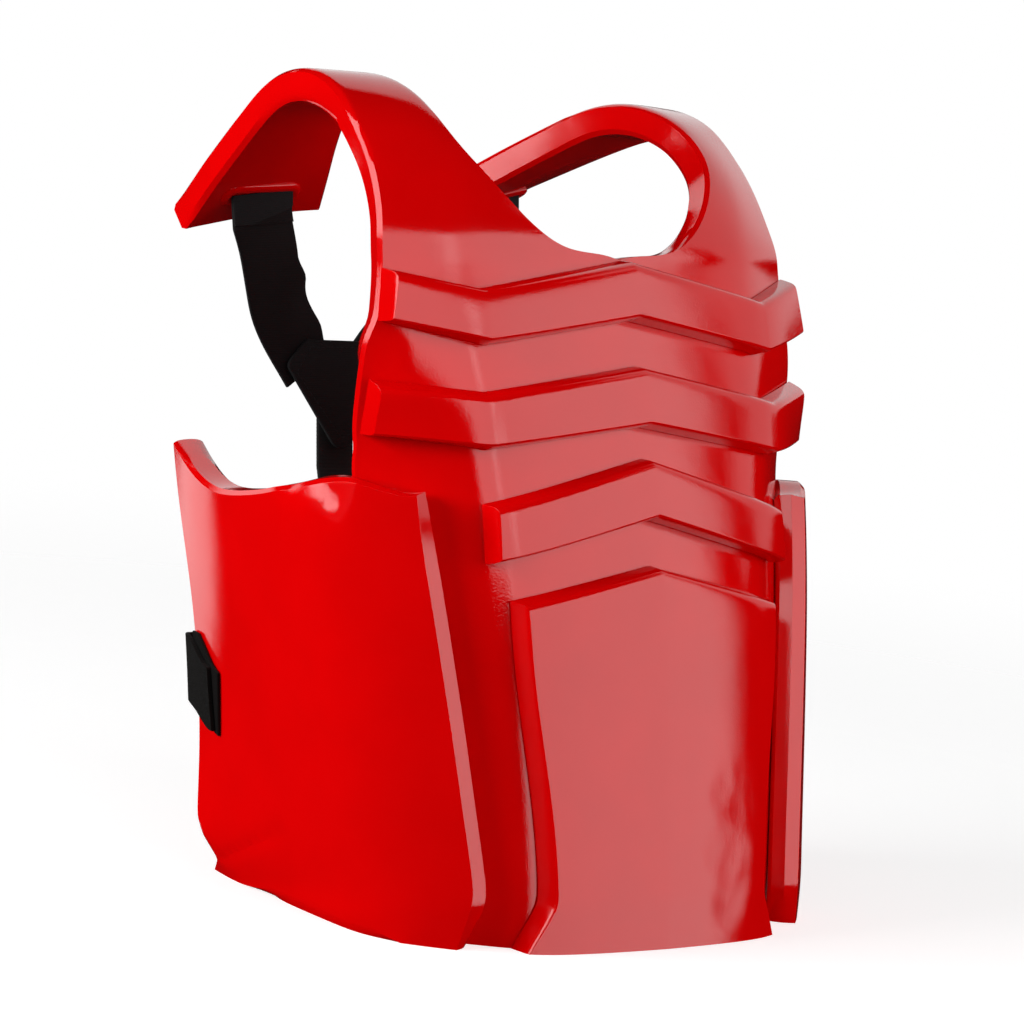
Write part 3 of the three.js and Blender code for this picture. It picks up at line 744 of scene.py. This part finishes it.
class GUARD_OT_slit_lips(bpy.types.Operator):
    """Make the rounded lip of foam round each slit that a shoulder strap comes out of"""
    bl_idname = "guard.slit_lips"
    bl_label = "Slit lips"

    def execute(self, context):
        foam = context.scene.guard_foam
        shell = bpy.data.objects["dipped_shell"]
        for side in SIDES:
            ends = slit_points(bpy.data.objects[f"elastic_shoulder_{side}"])
            first = min(ends, key=lambda place: place.x)
            last = max(ends, key=lambda place: place.x)
            found, place, normal, face = shell.closest_point_on_mesh(middle_of([first, last]))
            if not found:
                raise RuntimeError(f"no underside over the {side} strap")
            along = (last - first).normalized()
            across = normal.cross(along).normalized()
            bpy.ops.object.select_all(action="DESELECT")
            bpy.ops.mesh.primitive_torus_add(
                major_radius=foam.lip_reach, minor_radius=foam.lip_round, major_segments=40,
                minor_segments=12)
            lip = bpy.context.active_object
            lip.name = f"slit_lip_{side}"
            lip.data.name = lip.name
            half = (last - first).length / 2 - foam.lip_reach * 0.4
            for way in (-1, 1):
                pick(lip, lambda spot, facing: spot.x * way > NEAR)
                bpy.ops.transform.translate(value=(way * half, 0, 0))
                end_edit()
            turned = Matrix((along, across, along.cross(across))).transposed().to_4x4()
            lip.matrix_world = Matrix.Translation(place) @ turned @ Matrix.Diagonal((1, 1, 0.6, 1))
            take(lip)
            bpy.ops.object.transform_apply(location=True, rotation=True, scale=True)
            bpy.ops.object.shade_smooth()
            settle(lip, dipped_red(foam))
        return {"FINISHED"}


def round_corners(piece, width, sharpness=math.radians(50)):
    """Round a flat piece's corners: bevel its sharp edges that run through its thickness."""
    pick(piece, lambda place, normal: False)
    bpy.ops.mesh.select_mode(type="EDGE")
    mesh = bmesh.from_edit_mesh(piece.data)
    for edge in mesh.edges:
        sharp = edge.is_manifold and edge.calc_face_angle() > sharpness
        edge.select = sharp and edge.calc_length() < THIN
    bmesh.update_edit_mesh(piece.data)
    bpy.ops.mesh.bevel(offset=width, segments=4, profile=0.5, clamp_overlap=True)
    bpy.ops.mesh.select_mode(type="VERT")
    end_edit()


class GUARD_OT_yoke(bpy.types.Operator):
    """Make the sewn patch where the shoulder straps meet the back strap"""
    bl_idname = "guard.yoke"
    bl_label = "Yoke patch"

    def execute(self, context):
        harness = context.scene.guard_harness
        yoke = copy_of_node("yoke_patch", "sewn_yoke")
        start_edit(yoke)
        bpy.ops.mesh.dissolve_limited(angle_limit=math.radians(2))
        end_edit()
        round_corners(yoke, harness.corner_round)
        round_edges(yoke, harness.edge_round, 3)
        take(yoke)
        bpy.ops.object.shade_smooth_by_angle(angle=math.radians(30))
        settle(yoke, elastic_black(harness), ["yoke_patch"])
        return {"FINISHED"}


def worn_height(harness, place):
    """Height of a place as the guard is worn, from any level."""
    return place.z * math.cos(harness.lean) + place.y * math.sin(harness.lean)


def rows_of(harness, piece):
    """Heights of a piece's rows of points, as worn, to a tenth of a millimetre."""
    return [round(worn_height(harness, place), 4) for place in points_of(piece)]


class GUARD_OT_back_strap(bpy.types.Operator):
    """Make the ribbed webbing that joins the yoke to the waist strap"""
    bl_idname = "guard.back_strap"
    bl_label = "Back strap"

    def execute(self, context):
        harness = context.scene.guard_harness
        strap = copy_of_node("back_strap", "webbing_back")
        lengths = len(set(rows_of(harness, strap))) - 1
        round_edges(strap, harness.edge_round)
        pick(strap, lambda place, normal: False)
        bpy.ops.mesh.select_mode(type="EDGE")
        mesh = bmesh.from_edit_mesh(strap.data)
        for edge in mesh.edges:
            way = edge.verts[1].co - edge.verts[0].co
            edge.select = abs(way.x) < NEAR and way.length > 4 * harness.edge_round
        bmesh.update_edit_mesh(strap.data)
        bpy.ops.mesh.subdivide(number_cuts=harness.rib_cuts)
        bpy.ops.mesh.select_mode(type="VERT")
        end_edit()
        heights = rows_of(harness, strap)
        lowest = min(heights)
        pitch = (max(heights) - lowest) / (lengths * (harness.rib_cuts + 1))

        def on_rib(place, normal):
            return round((worn_height(harness, place) - lowest) / pitch) % 2 and abs(normal.x) < EDGEWISE

        pick(strap, on_rib)
        bpy.ops.transform.shrink_fatten(value=harness.rib_height)
        end_edit()
        take(strap)
        bpy.ops.object.shade_smooth()
        ribbed = woven_black("ribbed_webbing", harness.webbing_colour, WEBBING_THREADS, WEAVE_HEIGHT)
        settle(strap, ribbed, ["back_strap"])
        return {"FINISHED"}


class GUARD_OT_waist_strap(bpy.types.Operator):
    """Make the elastic that closes the guard behind the waist, and the patches it fastens to"""
    bl_idname = "guard.waist_strap"
    bl_label = "Waist strap"

    def execute(self, context):
        harness = context.scene.guard_harness
        waist = copy_of_node("waist_strap", "elastic_waist")
        round_corners(waist, 2 * harness.corner_round)
        round_edges(waist, harness.edge_round)
        smooth_out(waist)
        settle(waist, tab_black(harness), ["waist_strap"])
        for side in SIDES:
            flat_strap(
                harness, f"strap_patch_{side}", f"loop_patch_{side}", tab_black(harness))
        return {"FINISHED"}


def sew(harness, name, cloth, lines):
    """Rows of stitches on a piece's skin: each line has its two ends and the side that it is sewn on."""
    bpy.ops.object.select_all(action="DESELECT")
    bpy.ops.mesh.primitive_uv_sphere_add(segments=8, ring_count=5, radius=harness.thread / 2)
    start_edit(bpy.context.active_object)
    bpy.ops.transform.resize(value=(harness.stitch_length / harness.thread, 1, 1))
    end_edit()
    seam = bpy.context.active_object
    seam.name = name
    seam.data.name = name
    bpy.ops.object.shade_smooth()
    stitches = []
    for first, last, out in lines:
        count = max(2, round((last - first).length / harness.stitch_pitch))
        for number in range(count):
            spot = first.lerp(last, (number + 0.5) / count) + out * harness.hem_length
            found, place, normal, face = cloth.closest_point_on_mesh(spot)
            if not found:
                raise RuntimeError(f"no cloth under {name}")
            along = (last - first).normalized()
            across = normal.cross(along).normalized()
            turned = Matrix((across.cross(normal), across, normal)).transposed().to_4x4()
            stitches.append(Matrix.Translation(place) @ turned)
    for spot in stitches[1:]:
        take(seam)
        bpy.ops.object.duplicate()
        bpy.context.active_object.matrix_world = spot
        bpy.context.active_object.name = f"{name}_more"
    seam.matrix_world = stitches[0]
    bpy.ops.object.select_all(action="DESELECT")
    for piece in bpy.data.objects:
        if piece.name.startswith(name):
            piece.select_set(True)
    bpy.context.view_layer.objects.active = seam
    bpy.ops.object.join()
    bpy.ops.object.transform_apply(location=True, rotation=True, scale=True)
    settle(seam, woven_black("thread_black", harness.thread_colour, 900, 0.00005))


def outline_lines(harness, cloth, out):
    """Sewn lines round a flat patch, drawn in from its corners."""
    side = Vector((1, 0, 0))
    up = side.cross(out)
    points = points_of(cloth)
    middle = middle_of(points)
    ring = sorted(points, key=lambda place: math.atan2((place - middle).dot(up), (place - middle).dot(side)))
    corners = []
    for place in ring:
        drawn = place + (middle - place).normalized() * harness.seam_inset * 1.5
        if not corners or (drawn - corners[-1]).length > 2 * harness.seam_inset:
            corners.append(drawn)
    return [(corners[k - 1], corners[k], out) for k in range(len(corners))]


def end_lines(harness, strap, out):
    """Sewn lines across the low end of the back strap, over both edges of the waist strap."""
    points = points_of(strap)
    low = min(worn_height(harness, place) for place in points)
    inset = Vector((harness.seam_inset, 0, 0))
    lines = []
    for rise in (harness.row_low, harness.row_high):
        row = [place for place in points if abs(worn_height(harness, place) - low - rise) < IN_ROW]
        first = min(row, key=lambda place: place.x)
        last = max(row, key=lambda place: place.x)
        lines.append((first + inset, last - inset, out))
    return lines


class GUARD_OT_stitching(bpy.types.Operator):
    """Sew the yoke patch down all round, and the back strap to the waist strap"""
    bl_idname = "guard.stitching"
    bl_label = "Stitching"

    def execute(self, context):
        harness = context.scene.guard_harness
        out = Vector((0, math.cos(harness.lean), -math.sin(harness.lean)))
        yoke = bpy.data.objects["sewn_yoke"]
        sew(harness, "seam_yoke_outer", yoke, outline_lines(harness, yoke, out))
        sew(harness, "seam_yoke_inner", yoke, outline_lines(harness, yoke, -out))
        back = bpy.data.objects["webbing_back"]
        sew(harness, "seam_back_strap", back, end_lines(harness, back, out))
        return {"FINISHED"}


# Stage: lights stand round this point, this far from it
LIGHT_AIM = (0, -0.04, 0.22)
LIGHT_AWAY = 1.8

# Boxes seen only in the coat's reflections: turn from the front and rise in degrees, width and height
# in metres, and radiance
MIRRORED_BOXES = {
    "main_box": {"turn": 24.5, "rise": 6, "width": 1.795, "height": 1.8, "radiance": 2.45},
    "front_box": {"turn": -12, "rise": 21.5, "width": 0.64, "height": 0.6, "radiance": 2.35},
    "right_wall": {"turn": 105, "rise": 35, "width": 3.6, "height": 1.7, "radiance": 0.95},
    "rear_low_box": {"turn": -176, "rise": -17, "width": 0.5, "height": 0.65, "radiance": 1.25},
    "rear_high_box": {"turn": 178, "rise": 22, "width": 0.7, "height": 0.5, "radiance": 1.3},
    "catch_box": {"turn": -60, "rise": 25, "width": 0.6, "height": 0.5, "radiance": 3.2},
    "rim_box": {"turn": -112, "rise": 28, "width": 1.5, "height": 0.9, "radiance": 5.0},
}

# Lamps that light the guard and aren't mirrored in it
LAMPS = {
    "left_key": {"turn": -104, "rise": 16, "width": 1.3, "height": 0.8, "radiance": 10.2},
    "front_fill": {"turn": 18, "rise": 15, "width": 1.5, "height": 1.5, "radiance": 2.9},
}


def soft_box(name, turn, rise, width, height, radiance, mirrored):
    """Rectangular light of the given radiance, either only mirrored in the coat or only lighting it."""
    turn = math.radians(turn)
    rise = math.radians(rise)
    way = Vector((math.sin(turn) * math.cos(rise), -math.cos(turn) * math.cos(rise), math.sin(rise)))
    place = Vector(LIGHT_AIM) + way * LIGHT_AWAY
    bpy.ops.object.light_add(type="AREA", location=place)
    lamp = bpy.context.active_object
    lamp.name = name
    lamp.data.shape = "RECTANGLE"
    lamp.data.size = width
    lamp.data.size_y = height
    lamp.data.energy = radiance * math.pi * width * height
    lamp.rotation_euler = (-way).to_track_quat("-Z", "Y").to_euler()
    lamp.visible_camera = False
    lamp.visible_glossy = mirrored
    lamp.visible_diffuse = not mirrored


def place_camera(stage):
    """Camera at the photograph's angle, turned about its own axis by the roll."""
    a = stage.azimuth
    e = stage.elevation
    back = Vector((math.sin(a) * math.cos(e), -math.cos(a) * math.cos(e), math.sin(e)))
    level = Vector((math.cos(a), math.sin(a), 0))
    right = Matrix.Rotation(stage.roll, 3, back) @ level
    up = back.cross(right)
    bpy.ops.object.camera_add(location=Vector(stage.aim) + back * stage.distance)
    camera = bpy.context.active_object
    camera.name = "photo_camera"
    camera.rotation_euler = Matrix((right, up, back)).transposed().to_euler()
    camera.data.lens = stage.lens
    camera.data.sensor_width = 36
    bpy.context.scene.camera = camera


def studio_world(stage):
    """Bright backdrop for the camera, dark for reflections, and an even fill for the rest."""
    world = bpy.data.worlds.new("studio")
    world.use_nodes = True
    tree = world.node_tree
    tree.nodes.clear()
    output = tree.nodes.new("ShaderNodeOutputWorld")
    rays = tree.nodes.new("ShaderNodeLightPath")
    fill = tree.nodes.new("ShaderNodeBackground")
    fill.inputs["Color"].default_value = (1, 1, 1, 1)
    fill.inputs["Strength"].default_value = stage.fill
    dark = tree.nodes.new("ShaderNodeBackground")
    dark.inputs["Color"].default_value = (1, 1, 1, 1)
    dark.inputs["Strength"].default_value = stage.mirrored_dark
    backdrop = tree.nodes.new("ShaderNodeBackground")
    backdrop.inputs["Color"].default_value = (1, 1, 1, 1)
    backdrop.inputs["Strength"].default_value = stage.backdrop
    in_gloss = tree.nodes.new("ShaderNodeMixShader")
    tree.links.new(rays.outputs["Is Glossy Ray"], in_gloss.inputs["Fac"])
    tree.links.new(fill.outputs["Background"], in_gloss.inputs[1])
    tree.links.new(dark.outputs["Background"], in_gloss.inputs[2])
    in_view = tree.nodes.new("ShaderNodeMixShader")
    tree.links.new(rays.outputs["Is Camera Ray"], in_view.inputs["Fac"])
    tree.links.new(in_gloss.outputs["Shader"], in_view.inputs[1])
    tree.links.new(backdrop.outputs["Background"], in_view.inputs[2])
    tree.links.new(in_view.outputs["Shader"], output.inputs["Surface"])
    bpy.context.scene.world = world


def pale_floor(stage):
    """Pale disc that fades into the backdrop."""
    material, tree, shader = start_material("pale_floor")
    shader.inputs["Base Color"].default_value = (*stage.floor_colour, 1)
    shader.inputs["Roughness"].default_value = 0.9
    shader.inputs["Specular IOR Level"].default_value = 0.0
    shader.inputs["Emission Color"].default_value = (1, 1, 1, 1)
    shader.inputs["Emission Strength"].default_value = stage.floor_glow
    place = tree.nodes.new("ShaderNodeTexCoord").outputs["Object"]
    reach = tree.nodes.new("ShaderNodeVectorMath")
    reach.operation = "LENGTH"
    tree.links.new(place, reach.inputs[0])
    fade = tree.nodes.new("ShaderNodeMapRange")
    fade.interpolation_type = "SMOOTHSTEP"
    fade.inputs["From Min"].default_value = stage.fade_from
    fade.inputs["From Max"].default_value = stage.fade_to
    fade.inputs["To Min"].default_value = 1
    fade.inputs["To Max"].default_value = 0
    tree.links.new(reach.outputs["Value"], fade.inputs["Value"])
    tree.links.new(fade.outputs["Result"], shader.inputs["Alpha"])
    bpy.ops.mesh.primitive_circle_add(vertices=96, radius=stage.floor_radius, fill_type="NGON")
    floor = bpy.context.active_object
    floor.name = "floor"
    floor.data.materials.append(material)
    floor.visible_glossy = False
    floor.visible_diffuse = False
    floor.visible_shadow = False


class GUARD_OT_stage(bpy.types.Operator):
    """Set the floor, the light and the camera"""
    bl_idname = "guard.stage"
    bl_label = "Studio"

    def execute(self, context):
        stage = context.scene.guard_stage
        bpy.ops.object.select_all(action="DESELECT")
        place_camera(stage)
        studio_world(stage)
        pale_floor(stage)
        for name, box in MIRRORED_BOXES.items():
            soft_box(name, **box, mirrored=True)
        for name, lamp in LAMPS.items():
            soft_box(name, **lamp, mirrored=False)
        context.scene.view_settings.view_transform = "Standard"
        return {"FINISHED"}


class GUARD_PT_sidebar(bpy.types.Panel):
    """Steps that make the chest guard"""
    bl_label = "Chest Guard"
    bl_idname = "GUARD_PT_sidebar"
    bl_space_type = "VIEW_3D"
    bl_region_type = "UI"
    bl_category = "Chest Guard"

    def draw(self, context):
        for step in STEPS:
            self.layout.operator(step.bl_idname)


STEPS = (
    GUARD_OT_stage,
    GUARD_OT_front_shell,
    GUARD_OT_raised_pads,
    GUARD_OT_side_panels,
    GUARD_OT_shoulder_straps,
    GUARD_OT_slit_lips,
    GUARD_OT_yoke,
    GUARD_OT_back_strap,
    GUARD_OT_waist_strap,
    GUARD_OT_stitching,
)
SETTINGS = {"guard_foam": FoamSettings, "guard_harness": HarnessSettings, "guard_stage": StageSettings}


def register():
    for kind in (*SETTINGS.values(), *STEPS, GUARD_PT_sidebar):
        bpy.utils.register_class(kind)
    for name, kind in SETTINGS.items():
        setattr(bpy.types.Scene, name, PointerProperty(type=kind))


def unregister():
    for name in SETTINGS:
        delattr(bpy.types.Scene, name)
    for kind in (GUARD_PT_sidebar, *STEPS, *SETTINGS.values()):
        bpy.utils.unregister_class(kind)


def main():
    register()
    bpy.ops.guard.stage()
    bpy.ops.guard.front_shell()
    bpy.ops.guard.raised_pads()
    bpy.ops.guard.side_panels()
    bpy.ops.guard.shoulder_straps()
    bpy.ops.guard.slit_lips()
    bpy.ops.guard.yoke()
    bpy.ops.guard.back_strap()
    bpy.ops.guard.waist_strap()
    bpy.ops.guard.stitching()


if __name__ == "__main__":
    main()
